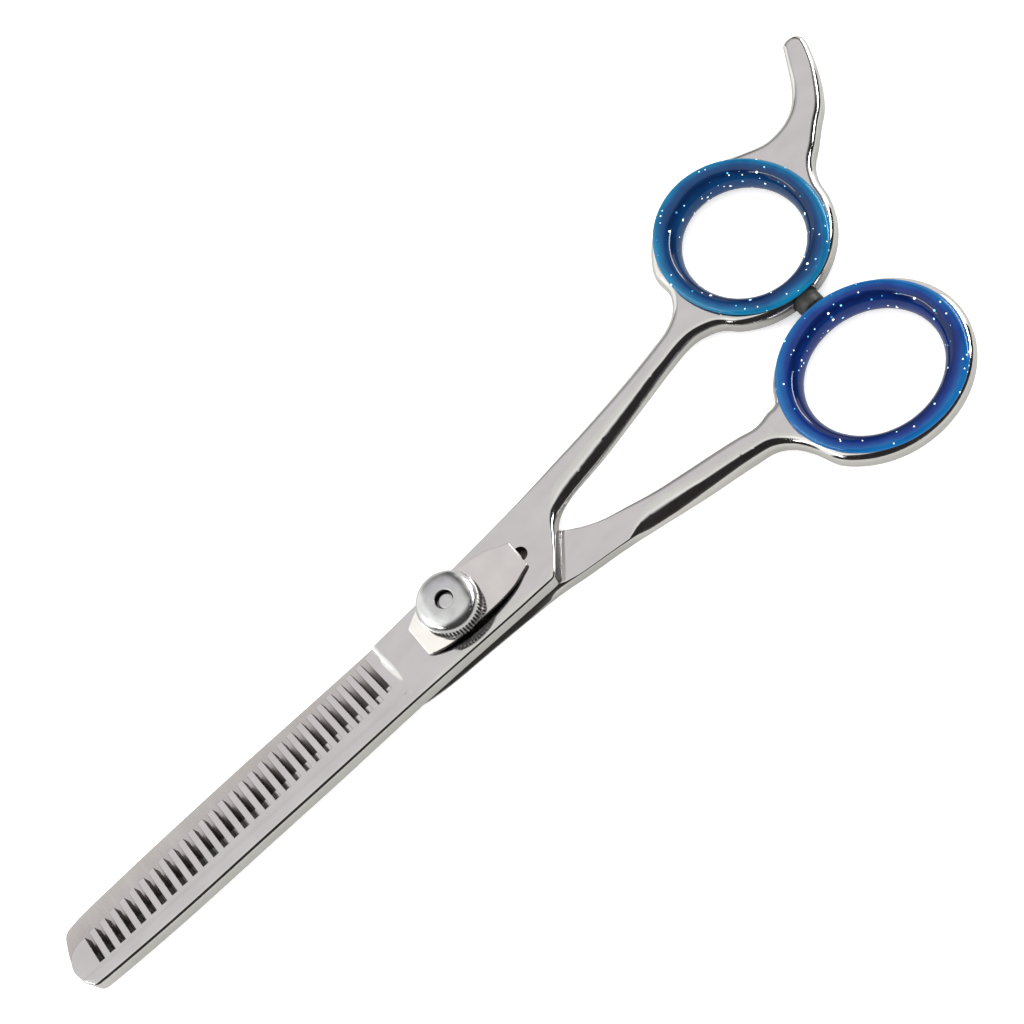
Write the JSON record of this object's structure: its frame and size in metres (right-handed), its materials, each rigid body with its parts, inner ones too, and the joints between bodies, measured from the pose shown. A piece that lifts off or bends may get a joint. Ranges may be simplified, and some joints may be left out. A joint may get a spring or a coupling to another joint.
{
  "type": "thinning shears",
  "caption": "Hair-thinning shears with a comb blade and a plain blade on an adjustable pivot, finger rings with soft inserts and a curved finger rest.",
  "frame": {"origin": "centre of the flat face of the pivot screw's head, on the pivot axis and on the plane that the shears lie on", "axes": "+X from the pivot towards the finger rings, +Y towards the finger ring, +Z along the pivot axis towards the tension nut"},
  "size_m": [0.1813, 0.0662, 0.0125],
  "materials": {
    "polished_steel": "mirror-polished stainless steel with fine hairlines",
    "nut_steel": "turned and polished steel with a straight knurl",
    "spring_steel": "satin spring steel",
    "teal_blue_vinyl": "glossy translucent blue vinyl with glitter flakes",
    "royal_blue_vinyl": "glossy translucent blue vinyl with glitter flakes",
    "black_rubber": "matt black rubber"
  },
  "bodies": {
    "plain_side": {"plain_half": "polished_steel", "thumb_ring_insert": "royal_blue_vinyl", "pivot_screw": "nut_steel"},
    "toothed_side": {"toothed_half": "polished_steel", "leaf_spring": "spring_steel", "finger_ring_insert": "teal_blue_vinyl", "bumper": "black_rubber"},
    "nut": {"tension_nut": "nut_steel"}
  },
  "joints": [
    {"name": "blade_pivot", "type": "hinge", "parent": "plain_side", "child": "toothed_side", "pos_m": [0, 0, 0.0033], "axis": [0, 0, 1], "range_deg": [0, 90]},
    {"name": "nut_turn", "type": "hinge", "parent": "plain_side", "child": "nut", "pos_m": [0, 0, 0.0084], "axis": [0, 0, 1], "range_deg": [-180, 180]}
  ]
}
